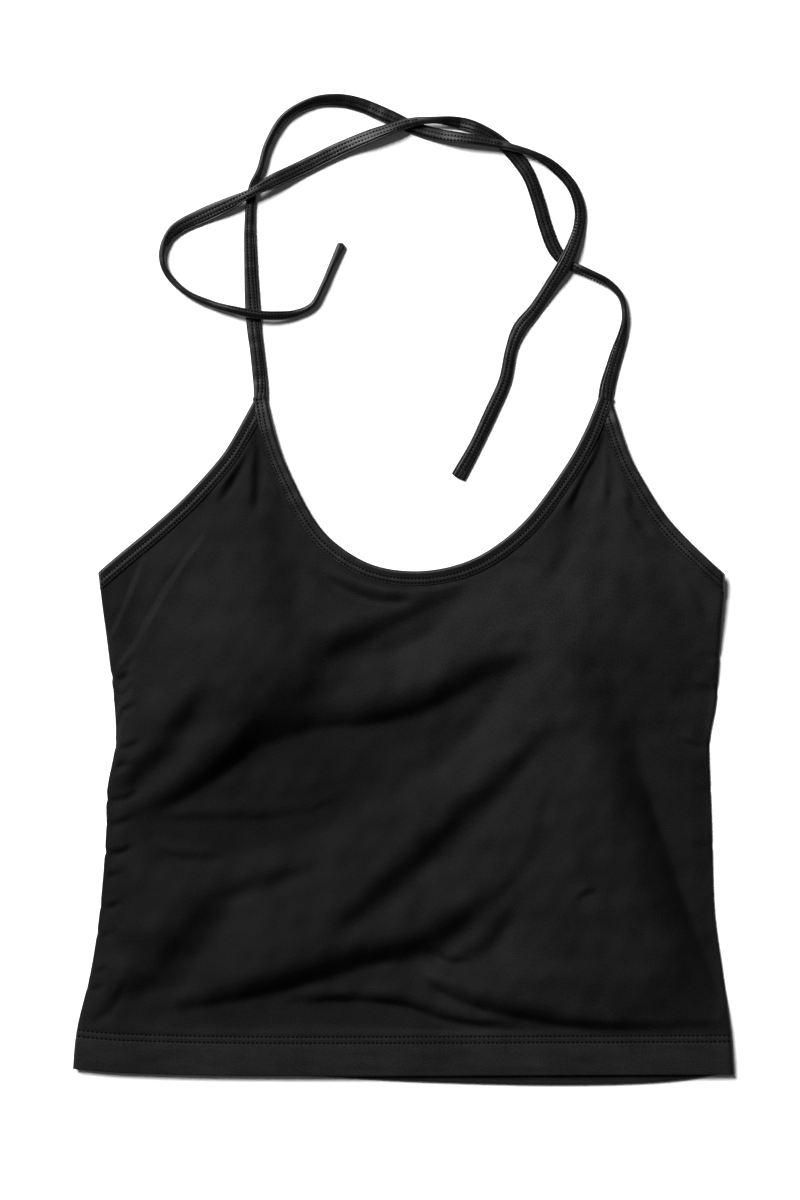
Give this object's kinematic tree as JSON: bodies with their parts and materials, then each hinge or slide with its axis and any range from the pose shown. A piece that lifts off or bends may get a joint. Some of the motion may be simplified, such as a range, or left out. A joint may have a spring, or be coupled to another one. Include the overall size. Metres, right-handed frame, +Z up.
{
  "type": "halter neck top",
  "caption": "Black jersey halter neck top laid flat, with bound armholes and neckline, loose crossed neck ties and a straight stitched hem.",
  "frame": {"origin": "middle of the top's outline, without its ties, on the surface that it lies on", "axes": "+Y towards the neck, +X towards the right as seen from above, +Z up out of the front"},
  "size_m": [0.4223, 0.6337, 0.0135],
  "materials": {
    "jersey": "black stretch jersey with a soft satin sheen",
    "strip": "folded black jersey strip with two rows of stitching",
    "tie": "narrow folded black jersey strip, stitched flat"
  },
  "bodies": {
    "root": {"front_panel": "jersey", "back_panel": "jersey", "neck_binding": "strip", "armhole_binding_left": "strip", "armhole_binding_right": "strip", "back_binding": "strip", "tie_left": "tie", "tie_right": "tie"}
  },
  "joints": []
}
